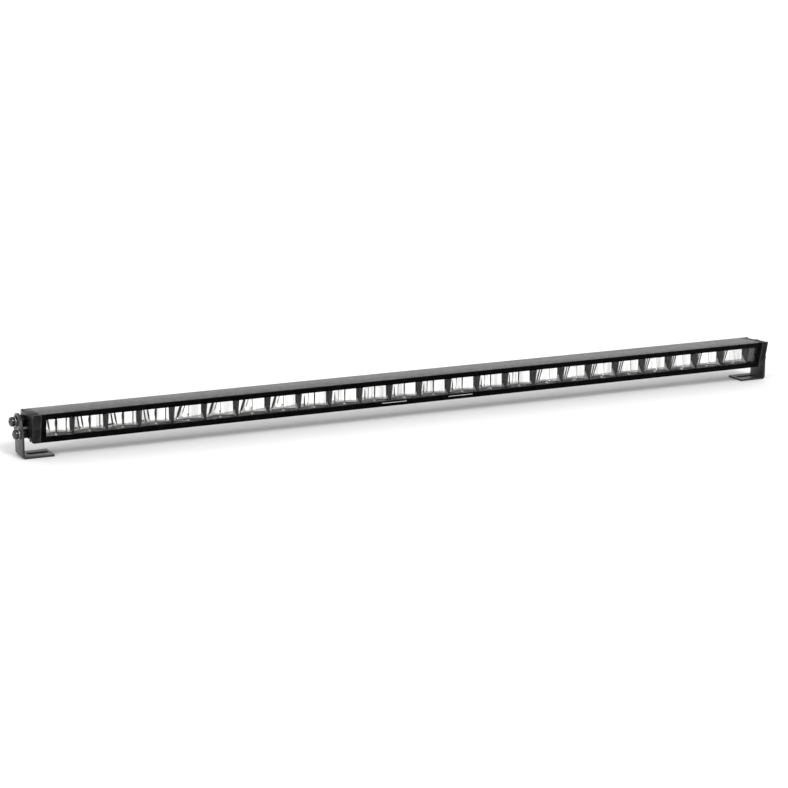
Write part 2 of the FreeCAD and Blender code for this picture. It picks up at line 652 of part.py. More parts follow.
# ---------------------------------------------------------------- brackets
def build_bracket(name, side):
    """Bent steel sheet: a slotted foot, and a plate with the pivot hole and the lock bolt's arc slot."""
    body = new_body(f"{name}_sheet")
    inner = f"{side}*Dims.plate_inner"
    outer = f"{side}*(Dims.plate_inner + Dims.sheet)"
    away = side < 0
    # the plate leaves the foot straight, then steps to the rear into its round head
    corners = [
        ("-Dims.plate_half", "0"), ("Dims.plate_half", "0"),
        ("Dims.plate_half", "Dims.plate_step_z - Dims.plate_step"),
        ("Dims.head_y + Dims.head_radius*cos(Dims.head_low_angle)",
         "Dims.head_z - Dims.head_radius*sin(Dims.head_low_angle)"),
        ("Dims.head_y - Dims.head_radius*cos(Dims.head_high_angle)",
         "Dims.head_z + Dims.head_radius*sin(Dims.head_high_angle)"),
        ("-Dims.plate_half", "Dims.plate_step_z"),
    ]
    pad(body, outline(sketch_on(body, "YZ", inner), corners), "Dims.sheet", back=away)
    head = circle(sketch_on(body, "YZ", inner), "Dims.head_y", "Dims.head_z", "Dims.head_radius")
    pad(body, head, "Dims.sheet", back=away)
    foot = rectangle(sketch_on(body, "XY"), f"{side}*Dims.foot_tip", "-Dims.plate_half",
                     f"{side}*(Dims.plate_inner + Dims.sheet/2)", "Dims.plate_half")
    foot_pad = pad(body, foot, "Dims.sheet")
    doc.recompute()
    tip_x = side * value("Dims.foot_tip")
    inner_x, outer_x = value(inner), value(outer)
    thick = value("Dims.sheet")
    tip = round_edges(body, foot_pad, "Dims.foot_round",
                      lambda edge: is_along(edge, V(0, 0, 1)) and abs(edge.Vertexes[0].X - tip_x) < 1e-6)
    crease = round_edges(body, tip, "Dims.bend_radius - Dims.sheet",
                         lambda edge: is_along(edge, V(0, 1, 0))
                         and abs(edge.Vertexes[0].X - inner_x) < 1e-6
                         and abs(edge.Vertexes[0].Z - thick) < 1e-6)
    round_edges(body, crease, "Dims.bend_radius",
                lambda edge: is_along(edge, V(0, 1, 0)) and abs(edge.Vertexes[0].X - outer_x) < 1e-6
                and abs(edge.Vertexes[0].Z) < 1e-6)
    run = "(Dims.foot_slot_long/2 - Dims.foot_slot_half)"
    middle = f"{side}*Dims.foot_slot_x"
    straight = rectangle(sketch_on(body, "XY"), f"{middle} - {run}", "-Dims.foot_slot_half",
                         f"{middle} + {run}", "Dims.foot_slot_half")
    pocket(body, straight, "3*Dims.sheet", middle=True)
    for end in (-1, 1):
        round_end = circle(sketch_on(body, "XY"), f"{middle} + {end}*{run}", "0", "Dims.foot_slot_half")
        pocket(body, round_end, "3*Dims.sheet", middle=True)
    hole = circle(sketch_on(body, "YZ", inner), "Dims.pivot_y", "Dims.pivot_z",
                  "Dims.bolt_radius + Dims.pivot_clear")
    pocket(body, hole, "3*Dims.sheet", middle=True)
    return keep(cut(f"{name}_bracket", body, arc_slot(side)), f"{name}_bracket")


def arc_slot(side):
    """The solid that an arc slot round the pivot takes out of a bracket plate."""
    reach_y, reach_z = "(Dims.lock_y - Dims.pivot_y)", "(Dims.lock_z - Dims.pivot_z)"
    reach = f"sqrt({reach_y}*{reach_y} + {reach_z}*{reach_z})"
    rest = f"atan2({reach_z}; {reach_y})"
    half_wide = "(Dims.bolt_radius + Dims.slot_clear)"
    swing = "((Dims.tilt + Dims.slot_spare)*1 deg)"
    foot_x = f"{side}*(Dims.plate_inner + Dims.sheet/2) - 2*Dims.sheet"
    sectors = []
    for sign in ("+", "-"):
        sector = rod("slot_sector", "X", f"{reach} {sign} {half_wide}", "4*Dims.sheet",
                     (foot_x, "Dims.pivot_y", "Dims.pivot_z"))
        sector.setExpression("Angle", f"2*{swing}")
        start = FreeCAD.Rotation(V(0, 0, 1), value(f"{rest} - {swing}"))
        sector.Placement.Rotation = TURN["X"].multiply(start)
        sectors.append(sector)
    ends = []
    for sign in ("+", "-"):
        angle = f"({rest} {sign} {swing})"
        ends.append(rod("slot_end", "X", half_wide, "4*Dims.sheet",
                        (foot_x, f"Dims.pivot_y + {reach}*cos({angle})",
                         f"Dims.pivot_z + {reach}*sin({angle})")))
    return fuse("slot_tool", [cut("slot_band", *sectors)] + ends)


# ---------------------------------------------------------------- bolts, washers and inserts
STACK = "(Dims.plate_inner + Dims.sheet + Dims.face_gap)"
HEAD_SEAT = f"({STACK} + Dims.flat_thick + Dims.spring_thick)"
BOLTS = {"pivot": ("Dims.pivot_y", "Dims.pivot_z"), "lock": ("Dims.lock_y", "Dims.lock_z")}


def build_bolt(name, side, kind):
    """Button-head bolt with a hexagon socket, built along +X and turned round for the left side."""
    turn = FreeCAD.Rotation(V(0, 0, 1), 0 if side > 0 else 180)
    body = new_body(f"{name}_{kind}_bolt", FreeCAD.Placement(V(), turn))
    profile = [("-Dims.bolt_long", "0"), ("-Dims.bolt_long", "Dims.bolt_radius"), ("0", "Dims.bolt_radius"),
               ("0", "Dims.bolt_head"), ("Dims.bolt_head_high", "Dims.bolt_head"), ("Dims.bolt_head_high", "0")]
    turned = revolve(body, outline(sketch_on(body, "XY"), profile))
    high, radius = value("Dims.bolt_head_high"), value("Dims.bolt_head")
    round_edges(body, turned, "Dims.bolt_head_round",
                lambda edge: abs(edge.BoundBox.XMin - high) < 1e-6 and abs(edge.BoundBox.YMax - radius) < 1e-3)
    socket = hexagon(sketch_on(body, "YZ", "Dims.bolt_head_high"), "Dims.hex_across")
    pocket(body, socket, "Dims.hex_deep")
    across, up = BOLTS[kind]
    bind(body, x=f"{side}*{HEAD_SEAT}", y=across, z=up)
    return keep(body, f"{name}_{kind}_bolt")


def washer(name, side, kind, start, thick, radius, bore):
    """A ring round a bolt, its inner face this far out along X."""
    across, up = BOLTS[kind]
    foot = (f"{side}*({start} + {thick}/2) - {thick}/2", across, up)
    return cut(name, rod(f"{name}_disc", "X", radius, thick, foot), rod(f"{name}_bore", "X", bore, thick, foot))


def build_washers(name, side):
    """A flat and a split spring washer under each bolt head."""
    bore = "(Dims.bolt_radius + Dims.washer_clear)"
    flats, springs = [], []
    for kind, (across, up) in BOLTS.items():
        flats.append(washer("flat_washer", side, kind, STACK, "Dims.flat_thick", "Dims.flat_washer", bore))
        start = f"({STACK} + Dims.flat_thick)"
        ring = washer("spring_ring", side, kind, start, "Dims.spring_thick", "Dims.spring_washer", bore)
        split = block("spring_split",
                      (f"{side}*({start} + Dims.spring_thick/2) - Dims.spring_thick",
                       f"{across} - Dims.spring_cut/2", f"{up} - 2*Dims.spring_washer"),
                      ("2*Dims.spring_thick", "Dims.spring_cut", "2*Dims.spring_washer"))
        springs.append(cut("spring_washer", ring, split))
    return [group(f"{name}_flat_washers", flats), group(f"{name}_spring_washers", springs)]


def build_spacers(name, side):
    """Thin nylon rings between the cap's bosses and the bracket plate."""
    start = "(Dims.bar_half + Dims.gasket_thick + Dims.cap_thick + Dims.boss_high)"
    thick = f"(Dims.plate_inner - Dims.face_gap - {start})"
    bore = "(Dims.bolt_radius + Dims.washer_clear)"
    rings = [washer("nylon_ring", side, "pivot", start, thick, "Dims.pivot_boss", bore),
             washer("nylon_ring", side, "lock", start, thick, "Dims.lock_boss", bore)]
    return group(f"{name}_nylon_rings", rings)


def build_inserts(name, side):
    """Steel thread inserts in the cap's bosses."""
    start = "(Dims.bar_half + Dims.gasket_thick + Dims.cap_thick + Dims.boss_high - Dims.insert_long)"
    rings = [washer("insert", side, kind, start, "Dims.insert_long", "Dims.insert_radius", "Dims.bolt_radius")
             for kind in BOLTS]
    return group(f"{name}_thread_inserts", rings)


# ---------------------------------------------------------------- gland and vent
def turned_along_y(name, profile, place_x, place_z):
    """A body turned about +Y from a profile of (radius, y) corners."""
    body = new_body(name)
    turned = revolve(body, outline(sketch_on(body, "XY"), profile), "V_Axis")
    bind(body, x=place_x, z=place_z)
    return body, turned


def nut_along_y(name, start, end, across, bore):
    """A hexagon nut from one Y to another with a round bore, on the gland's axis."""
    body = new_body(name)
    pad(body, hexagon(sketch_on(body, "XZ", f"-({start})"), across), f"{end} - {start}", back=True)
    pocket(body, circle(sketch_on(body, "XZ", f"-({start})"), "0", "0", bore), f"{end} - {start}")
    bind(body, x="Dims.gland_x", z="Dims.gland_z")
    return body


def build_gland():
    """Cable gland through the rear web: body, seal, domed nut, face ring and lock nut."""
    seat = "(Dims.web_outer_y + Dims.ring_thick)"
    flange_end = f"({seat} + Dims.gland_flange_thick)"
    inside = "(Dims.web_inner_y - Dims.nut_thick)"
    profile = [("Dims.gland_bore", inside), ("Dims.gland_thread", inside), ("Dims.gland_thread", seat),
               ("Dims.gland_flange", seat), ("Dims.gland_flange", flange_end),
               ("Dims.gland_neck", flange_end), ("Dims.gland_neck", "Dims.gland_neck_end"),
               ("Dims.seal_radius", "Dims.gland_neck_end"), ("Dims.seal_radius", "Dims.neck_floor_y"),
               ("Dims.gland_bore", "Dims.neck_floor_y")]
    body, _ = turned_along_y("gland_body", profile, "Dims.gland_x", "Dims.gland_z")
    seal_profile = [("Dims.cable_radius", "Dims.seal_start_y"), ("Dims.seal_radius", "Dims.seal_start_y"),
                    ("Dims.seal_radius", "Dims.seal_end_y"), ("Dims.cable_radius", "Dims.seal_end_y")]
    seal, _ = turned_along_y("gland_seal", seal_profile, "Dims.gland_x", "Dims.gland_z")
    cap_in, cap_out = "Dims.gland_neck", "(Dims.nut_across/2)"
    nut_profile = [(cap_in, "Dims.nut_start_y"), (cap_out, "Dims.nut_start_y"),
                   (cap_out, "Dims.gland_neck_end + Dims.gland_shoulder"),
                   ("Dims.gland_bore + Dims.gland_nose", "Dims.gland_end_y"),
                   ("Dims.gland_bore", "Dims.gland_end_y"), ("Dims.gland_bore", "Dims.nut_floor_y"),
                   ("Dims.seal_radius", "Dims.nut_floor_y"), ("Dims.seal_radius", "Dims.gland_neck_end"),
                   (cap_in, "Dims.gland_neck_end")]
    nut, _ = turned_along_y("gland_nut", nut_profile, "Dims.gland_x", "Dims.gland_z")
    ring_out = "(Dims.gland_flange - Dims.ring_inset)"
    ring_profile = [("Dims.gland_thread", "Dims.web_outer_y"), (ring_out, "Dims.web_outer_y"),
                    (ring_out, seat), ("Dims.gland_thread", seat)]
    ring, _ = turned_along_y("gland_ring", ring_profile, "Dims.gland_x", "Dims.gland_z")
    lock = nut_along_y("gland_lock_nut", inside, "Dims.web_inner_y", "Dims.nut_across", "Dims.gland_thread")
    return [keep(item, item.Name) for item in (body, seal, nut, ring, lock)]


def build_vent():
    """Breather: a hollow plug in the web, a membrane in its mouth and a ring under its head."""
    seat = "(Dims.web_outer_y + Dims.ring_thick)"
    end = f"({seat} + Dims.vent_high)"
    bore = "(Dims.vent_core - Dims.vent_wall)"
    mouth = f"({end} - Dims.vent_mouth)"
    profile = [(bore, "Dims.web_inner_y"), ("Dims.vent_radius", "Dims.web_inner_y"),
               ("Dims.vent_radius", seat), ("Dims.vent_head", seat),
               ("Dims.vent_head", f"{end} - Dims.vent_bevel"), ("Dims.vent_head - Dims.vent_bevel", end),
               ("Dims.vent_core", end), ("Dims.vent_core", mouth), (bore, mouth)]
    plug, _ = turned_along_y("vent_plug", profile, "Dims.vent_x", "Dims.gland_z")
    membrane = rod("vent_membrane", "Y", "Dims.vent_core", "Dims.membrane_thick",
                   ("Dims.vent_x", mouth, "Dims.gland_z"))
    ring_out = "(Dims.vent_head - Dims.ring_inset)"
    ring_profile = [("Dims.vent_radius", "Dims.web_outer_y"), (ring_out, "Dims.web_outer_y"),
                    (ring_out, seat), ("Dims.vent_radius", seat)]
    ring, _ = turned_along_y("vent_ring", ring_profile, "Dims.vent_x", "Dims.gland_z")
    return [keep(item, item.Name) for item in (plug, membrane, ring)]


# ---------------------------------------------------------------- build, check and write
build_housing()
build_bezel()
build_lines()
build_lens_and_seal()
for module in MODULES:
    build_reflector(module)
    build_board(module)
build_leds()
build_board_screws()
build_blank()
build_driver()
for side_name, sign in SIDES.items():
    build_cap_gasket(side_name, sign)
    build_cap(side_name, sign)
    build_cap_screws(side_name, sign)
    build_bracket(side_name, sign)
    build_washers(side_name, sign)
    build_spacers(side_name, sign)
    build_inserts(side_name, sign)
    for bolt_kind in BOLTS:
        build_bolt(side_name, sign, bolt_kind)
build_gland()
build_vent()
doc.recompute()

for item in doc.Objects:
    if {"Invalid", "Error"} & set(item.State):
        raise RuntimeError(f"{item.Label} did not recompute: {item.State}")
os.makedirs("parts", exist_ok=True)
for item in subparts:
    if item.Shape.isNull() or not item.Shape.isValid():
        raise RuntimeError(f"{item.Label} has no valid shape")
    item.Shape.exportStep(os.path.join("parts", f"{item.Label}.step"))
print(f"wrote {len(subparts)} sub-parts")
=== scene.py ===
"""A slim LED light bar on two tilting brackets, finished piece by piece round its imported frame.

Everything is in metres in the frame's own axes: +X along the bar, +Y to its rear, +Z up.
"""
import math

import bpy
from mathutils import Matrix, Vector


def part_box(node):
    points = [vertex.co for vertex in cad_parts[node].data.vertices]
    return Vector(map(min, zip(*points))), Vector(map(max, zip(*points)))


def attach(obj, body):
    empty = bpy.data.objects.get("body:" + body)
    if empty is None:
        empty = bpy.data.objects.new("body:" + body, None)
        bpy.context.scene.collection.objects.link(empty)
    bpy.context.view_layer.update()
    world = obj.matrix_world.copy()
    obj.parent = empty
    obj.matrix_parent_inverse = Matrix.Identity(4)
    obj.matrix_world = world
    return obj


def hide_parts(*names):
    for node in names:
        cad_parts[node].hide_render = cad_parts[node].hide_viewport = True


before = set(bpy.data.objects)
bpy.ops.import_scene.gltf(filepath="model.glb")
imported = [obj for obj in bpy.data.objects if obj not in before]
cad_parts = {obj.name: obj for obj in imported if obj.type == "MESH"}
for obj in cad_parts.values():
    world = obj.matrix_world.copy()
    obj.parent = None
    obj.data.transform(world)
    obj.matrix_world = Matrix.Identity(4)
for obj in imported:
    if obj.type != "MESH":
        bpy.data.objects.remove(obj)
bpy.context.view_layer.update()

# ------------------------------------------------------------ floor, lights and camera
# A plain white floor runs past the view. A broad soft key light stands high in front of the bar,
# a weaker one picks out its left end, and a studio sky, dimmer low in front, fills in the rest.
FLOOR_HALF = 45.0
MM = 0.001


def set_socket(node, **values):
    """Give sockets their values by name, with underscores for spaces."""
    for name, value in values.items():
        node.inputs[name.replace("_", " ")].default_value = value


def new_material(name, **values):
    """A material with a Principled surface; returns it with its nodes, links and surface."""
    material = bpy.data.materials.new(name)
    material.use_nodes = True
    nodes, links = material.node_tree.nodes, material.node_tree.links
    surface = nodes["Principled BSDF"]
    set_socket(surface, **values)
    return material, nodes, links, surface


floor_paint, floor_nodes, floor_links, floor_surface = new_material(
    "floor_paint", Base_Color=(0.93, 0.93, 0.93, 1), Roughness=0.7)
bpy.ops.mesh.primitive_plane_add(size=2 * FLOOR_HALF)
floor = bpy.context.object
floor.name = "floor"
floor.data.materials.append(floor_paint)

SKY_TILT = (0.0, 0.5, 0.6)
SKY_DIM, SKY_BRIGHT = 0.32, 0.86
sky = bpy.data.worlds.new("sky")
bpy.context.scene.world = sky
sky.use_nodes = True
sky_nodes, sky_links = sky.node_tree.nodes, sky.node_tree.links
sky_way = sky_nodes.new("ShaderNodeTexCoord")
sky_height = sky_nodes.new("ShaderNodeVectorMath")
sky_height.operation = "DOT_PRODUCT"
sky_height.inputs[1].default_value = SKY_TILT
sky_level = sky_nodes.new("ShaderNodeMapRange")
set_socket(sky_level, From_Min=-0.5, From_Max=0.5, To_Min=SKY_DIM, To_Max=SKY_BRIGHT)
sky_links.new(sky_way.outputs["Generated"], sky_height.inputs[0])
sky_links.new(sky_height.outputs["Value"], sky_level.inputs["Value"])
sky_links.new(sky_level.outputs["Result"], sky_nodes["Background"].inputs["Strength"])
sky_nodes["Background"].inputs["Color"].default_value = (1.0, 1.0, 1.0, 1)

# each light's name, the way that it comes from, its power, and how many degrees wide it looks
STUDIO_LIGHTS = (("key_light", (0.15, -0.75, 0.65), 2.05, 24),
                 ("end_light", (-0.9, -0.27, 0.33), 0.9, 9))
LIGHT_HEIGHT = 3
for name, come_from, power, spread in STUDIO_LIGHTS:
    bpy.ops.object.light_add(type="SUN", location=(0, 0, LIGHT_HEIGHT))
    studio_light = bpy.context.object
    studio_light.name = name
    studio_light.data.energy = power
    studio_light.data.angle = math.radians(spread)
    studio_light.rotation_euler = (-Vector(come_from)).to_track_quat("-Z", "Y").to_euler()
bpy.context.scene.view_settings.view_transform = "Standard"

CAMERA_PLACE = (-1.4842, -2.9636, 0.7954)
CAMERA_TURN, CAMERA_DIP, CAMERA_ROLL = 25.95, 12.99, 0.31
CAMERA_LENS, CAMERA_SENSOR = 100.1, 36.0
bpy.ops.object.camera_add()
camera = bpy.context.object
camera.name = "camera"
camera.data.lens = CAMERA_LENS
camera.data.sensor_width = CAMERA_SENSOR
camera.matrix_world = (
    Matrix.Translation(CAMERA_PLACE)
    @ Matrix.Rotation(math.radians(-CAMERA_TURN), 4, "Z")
    @ Matrix.Rotation(math.radians(90 - CAMERA_DIP), 4, "X")
    @ Matrix.Rotation(math.radians(CAMERA_ROLL), 4, "Z"))
bpy.context.scene.camera = camera

# ------------------------------------------------------------ housing
# Extruded aluminium, satin black anodised, with a fine grain along its length and edges that
# have worn a little brighter. Its rear web carries the cooling fins.
HOUSING_BLACK = (0.068, 0.068, 0.070, 1)
HOUSING_WORN = (0.26, 0.26, 0.265, 1)
HOUSING_EDGE = 0.35 * MM


def new_group(name, inputs, outputs):
    """An empty shader node group with float or vector or colour sockets."""
    group = bpy.data.node_groups.new(name, "ShaderNodeTree")
    for socket, kind, value in inputs:
        made = group.interface.new_socket(socket, in_out="INPUT", socket_type=kind)
        made.default_value = value
    for socket, kind in outputs:
        group.interface.new_socket(socket, in_out="OUTPUT", socket_type=kind)
    ends = group.nodes.new("NodeGroupInput"), group.nodes.new("NodeGroupOutput")
    return group, *ends


def make_grain():
    """Object-space noise, stretched by Stretch, as a mask and as a bumped normal."""
    group, start, end = new_group(
        "grain",
        [("Stretch", "NodeSocketVector", (1, 1, 1)), ("Scale", "NodeSocketFloat", 200),
         ("Depth", "NodeSocketFloat", 0.2)],
        [("Mask", "NodeSocketFloat"), ("Normal", "NodeSocketVector")])
    nodes, links = group.nodes, group.links
    place = nodes.new("ShaderNodeTexCoord")
    stretch = nodes.new("ShaderNodeVectorMath")
    stretch.operation = "MULTIPLY"
    noise = nodes.new("ShaderNodeTexNoise")
    noise.inputs["Detail"].default_value = 3
    bump = nodes.new("ShaderNodeBump")
    bump.inputs["Distance"].default_value = 0.0002
    links.new(place.outputs["Object"], stretch.inputs[0])
    links.new(start.outputs["Stretch"], stretch.inputs[1])
    links.new(stretch.outputs[0], noise.inputs["Vector"])
    links.new(start.outputs["Scale"], noise.inputs["Scale"])
    links.new(start.outputs["Depth"], bump.inputs["Strength"])
    links.new(noise.outputs["Fac"], bump.inputs["Height"])
    links.new(noise.outputs["Fac"], end.inputs["Mask"])
    links.new(bump.outputs["Normal"], end.inputs["Normal"])
    return group


def make_edge_wear():
    """Where edges stick out and have rubbed, broken up by noise."""
    group, start, end = new_group(
        "edge_wear", [("Amount", "NodeSocketFloat", 0.5), ("Scale", "NodeSocketFloat", 120)],
        [("Mask", "NodeSocketFloat")])
    nodes, links = group.nodes, group.links
    shape = nodes.new("ShaderNodeNewGeometry")
    edge = nodes.new("ShaderNodeMapRange")
    set_socket(edge, From_Min=0.52, From_Max=0.62)
    place = nodes.new("ShaderNodeTexCoord")
    noise = nodes.new("ShaderNodeTexNoise")
    rub = nodes.new("ShaderNodeMapRange")
    set_socket(rub, From_Min=0.4, From_Max=0.65)
    both = nodes.new("ShaderNodeMath")
    both.operation = "MULTIPLY"
    share = nodes.new("ShaderNodeMath")
    share.operation = "MULTIPLY"
    links.new(shape.outputs["Pointiness"], edge.inputs["Value"])
    links.new(place.outputs["Object"], noise.inputs["Vector"])
    links.new(start.outputs["Scale"], noise.inputs["Scale"])
    links.new(noise.outputs["Fac"], rub.inputs["Value"])
    links.new(edge.outputs["Result"], both.inputs[0])
    links.new(rub.outputs["Result"], both.inputs[1])
    links.new(both.outputs[0], share.inputs[0])
    links.new(start.outputs["Amount"], share.inputs[1])
    links.new(share.outputs[0], end.inputs["Mask"])
    return group


GRAIN = make_grain()
EDGE_WEAR = make_edge_wear()


def add_group(nodes, group, **values):
    """Place a shared group in a material with its own values."""
    node = nodes.new("ShaderNodeGroup")
    node.node_tree = group
    set_socket(node, **values)
    return node


def mix_colour(nodes, links, mask, low, high):
    """A colour between two, by a mask."""
    mix = nodes.new("ShaderNodeMix")
    mix.data_type = "RGBA"
    mix.inputs["A"].default_value = low
    mix.inputs["B"].default_value = high
    links.new(mask, mix.inputs["Factor"])
    return mix.outputs["Result"]


def spread_value(nodes, links, mask, low, high):
    """A number that runs from low to high as the mask runs through its middle."""
    spread = nodes.new("ShaderNodeMapRange")
    set_socket(spread, From_Min=0.3, From_Max=0.7, To_Min=low, To_Max=high)
    links.new(mask, spread.inputs["Value"])
    return spread.outputs["Result"]


def coated_finish(name, colour, worn, rough, scale, stretch=(1, 1, 1), depth=0.2, wear=0.5, **values):
    """Paint, plating or plastic: a grained colour, uneven gloss and rubbed edges."""
    material, nodes, links, surface = new_material(name, **values)
    grain = add_group(nodes, GRAIN, Stretch=stretch, Scale=scale, Depth=depth)
    edges = add_group(nodes, EDGE_WEAR, Amount=wear)
    links.new(mix_colour(nodes, links, edges.outputs["Mask"], colour, worn), surface.inputs["Base Color"])
    links.new(spread_value(nodes, links, grain.outputs["Mask"], rough * 0.8, rough * 1.25),
              surface.inputs["Roughness"])
    links.new(grain.outputs["Normal"], surface.inputs["Normal"])
    return material


def dress(piece, material):
    """Give a piece one material, on every face."""
    piece.data.materials.clear()
    piece.data.materials.append(material)


def pick(piece):
    """Select one object alone and make it active."""
    bpy.ops.object.select_all(action="DESELECT")
    piece.hide_set(False)
    piece.select_set(True)
    bpy.context.view_layer.objects.active = piece
    return piece


def finish_modifiers(piece):
    """Apply every modifier of a piece in order."""
    pick(piece)
    for modifier in list(piece.modifiers):
        bpy.ops.object.modifier_apply(modifier=modifier.name)
    return piece


SAME_POINT, FLAT_ANGLE = 2e-6, 0.6
SHARP_ANGLE, SMOOTH_ANGLE, EDGE_STEPS = 40, 35, 2


def edged_copy(node, width, material, body="light"):
    """The node's own shape with its meshes joined up and its sharp edges broken."""
    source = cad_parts[node]
    piece = bpy.data.objects.new(f"{node}_finished", source.data.copy())
    bpy.context.scene.collection.objects.link(piece)
    pick(piece)
    bpy.ops.object.mode_set(mode="EDIT")
    bpy.ops.mesh.select_all(action="SELECT")
    bpy.ops.mesh.remove_doubles(threshold=SAME_POINT)
    bpy.ops.mesh.dissolve_limited(angle_limit=math.radians(FLAT_ANGLE))
    bpy.ops.object.mode_set(mode="OBJECT")
    bevel = piece.modifiers.new("broken_edges", "BEVEL")
    bevel.width = width
    bevel.segments = EDGE_STEPS
    bevel.limit_method = "ANGLE"
    bevel.angle_limit = math.radians(SHARP_ANGLE)
    bevel.use_clamp_overlap = True
    finish_modifiers(piece)
    bpy.ops.object.shade_smooth_by_angle(angle=math.radians(SMOOTH_ANGLE))
    dress(piece, material)
    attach(piece, body)
    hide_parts(node)
    return piece


anodised = coated_finish("black_anodised", HOUSING_BLACK, HOUSING_WORN, 0.42, 60,
                         stretch=(0.5, 14, 14), depth=0.05, wear=0.6)
edged_copy("housing", HOUSING_EDGE, anodised)

# ------------------------------------------------------------ front bezel
# Gloss black moulding round the window. It is pressed over the lens and its foam seal, and two
# thin pale lines are inlaid under the window.
BEZEL_EDGE = 0.3 * MM
bezel_gloss = coated_finish("bezel_gloss", (0.0006, 0.0006, 0.0006, 1), (0.01, 0.01, 0.01, 1), 0.22, 300,
                            depth=0.05, wear=0.3, Specular_IOR_Level=0.02)
for name in ("bezel_top_rail", "bezel_bottom_rail", "bezel_left_end", "bezel_right_end"):
    edged_copy(name, BEZEL_EDGE, bezel_gloss)
pale_inlay = coated_finish("pale_inlay", (0.55, 0.55, 0.55, 1), (0.7, 0.7, 0.7, 1), 0.4, 400, depth=0.05)
dress(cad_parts["bezel_lines"], pale_inlay)

# ------------------------------------------------------------ lens and seals
# The lens is a clear hard-coated plate with faint flow marks, pressed against a foam seal. Black
# silicone seals every other place where water could get in.
lens_clear, lens_nodes, lens_links, lens_surface = new_material(
    "lens_clear", Base_Color=(0.99, 0.99, 0.985, 1), Transmission_Weight=1.0, IOR=1.28)
lens_grain = add_group(lens_nodes, GRAIN, Stretch=(0.3, 1, 1), Scale=30, Depth=0.03)
lens_links.new(spread_value(lens_nodes, lens_links, lens_grain.outputs["Mask"], 0.01, 0.05),
               lens_surface.inputs["Roughness"])
dress(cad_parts["lens"], lens_clear)
silicone = coated_finish("silicone", (0.012, 0.012, 0.012, 1), (0.02, 0.02, 0.02, 1), 0.6, 900, depth=0.3)
for name in ("lens_seal", "left_cap_gasket", "right_cap_gasket", "gland_seal", "gland_ring", "vent_ring"):
    dress(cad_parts[name], silicone)

# ------------------------------------------------------------ reflectors
# Six dark mouldings of four cups each. The rear wall of each cup is a bright metallised shell
# with upright flutes and recessed slits, and its foot flares forward along the cup's sides. The
# slits take the moulding's dark colour as painted dark reflections, grey streaks in the plating's
# colour are painted shading, and the flares are a pale colour as a painted reflection.
cup_dark = coated_finish("cup_dark", (0.022, 0.022, 0.022, 1), (0.04, 0.04, 0.04, 1), 0.5, 700, depth=0.1,
                         Specular_IOR_Level=0.25)
plating, plating_nodes, plating_links, plating_surface = new_material("reflector_plating", Metallic=1.0)
# upright streaks darken the plating colour from white towards grey as painted shading, and also vary its
# gloss
shade_and_gloss_streaks = add_group(plating_nodes, GRAIN, Stretch=(1, 1, 0.05), Scale=130, Depth=0.02)
plating_links.new(
    mix_colour(plating_nodes, plating_links,
               spread_value(plating_nodes, plating_links, shade_and_gloss_streaks.outputs["Mask"], -0.6, 1.0),
               (0.97, 0.97, 0.965, 1), (0.66, 0.66, 0.66, 1)), plating_surface.inputs["Base Color"])
plating_links.new(spread_value(plating_nodes, plating_links, shade_and_gloss_streaks.outputs["Mask"], 0.06, 0.16),
                  plating_surface.inputs["Roughness"])
# the flares are a pale, almost unmetallic white: a painted reflection of bright plating
painted_flare_reflection = coated_finish("painted_flare_reflection", (0.92, 0.92, 0.92, 1), (0.97, 0.97, 0.97, 1), 0.45, 600,
                              depth=0.1, Metallic=0.1)

CUPS = 4
CUP_ORDER = ("slit", "slash", "lobe", "lobe", "sweep", "sweep")
# each slit, in shares of half the cup's width and of its height: its middle at the foot and at the
# roof, its half width, and where it starts and ends
CUP_SLITS = {
    "slit": [(-0.46, -0.62, 0.070, -0.1, 1.0), (-0.20, -0.36, 0.062, 0.05, 0.9),
             (0.20, 0.23, 0.066, -0.1, 1.1), (0.75, 0.79, 0.030, -0.1, 1.1)],
    "slash": [(-0.60, -0.16, 0.125, 0.0, 1.1), (-0.33, 0.14, 0.028, 0.3, 1.1),
              (0.24, 0.27, 0.018, -0.1, 1.1)],
    "lobe": [(-0.44, -0.42, 0.070, -0.3, 0.7), (-0.16, -0.10, 0.022, 0.0, 1.0),
             (0.12, 0.08, 0.060, 0.78, 1.3), (0.27, 0.30, 0.045, -0.1, 1.1)],
    "sweep": [(-0.50, -0.14, 0.085, -0.2, 1.1), (-0.30, 0.08, 0.048, -0.1, 1.1),
              (0.50, 0.46, 0.014, -0.1, 1.1)],
}
# how fast the lip along the foot of each wall grows towards its right end
CUP_LIP = {"slit": 0.03, "slash": 0.30, "lobe": 0.08, "sweep": 0.16}
# how high and how deep each cup's foot flares forward along its sides
CUP_FLARE = {"slit": (3 * MM, 4 * MM), "slash": (8 * MM, 8 * MM), "lobe": (6 * MM, 7 * MM),
             "sweep": (11 * MM, 11 * MM)}
FLARE_LEAN, FLARE_TIP = 0.35, 0.03
CUP_END = 0.93
FLUTE_COLUMNS, SLIT_COLUMNS, CUP_ROWS = 8, 3, 20
FLUTE_BULGE, SLIT_DEPTH, SHELL_FORWARD, SHELL_LEAN = 0.45 * MM, 1.0 * MM, 2.9 * MM, 1.1 * MM
LIP_HIGH, LIP_SLOPE, LIP_START = 0.04, 0.6, 0.3
LEFT_FOLLOW = 0.4
# a slit or flute this wide, as a share of half the cup, reaches its full depth or bulge
FULL_DEPTH_WIDTH, FULL_BULGE_WIDTH = 0.02, 0.35
SHELL_THICK, FLARE_THICK, SHELL_SMOOTH = 0.4 * MM, 0.3 * MM, 28
FLARE_COLUMNS, FLARE_ROWS = 10, 4

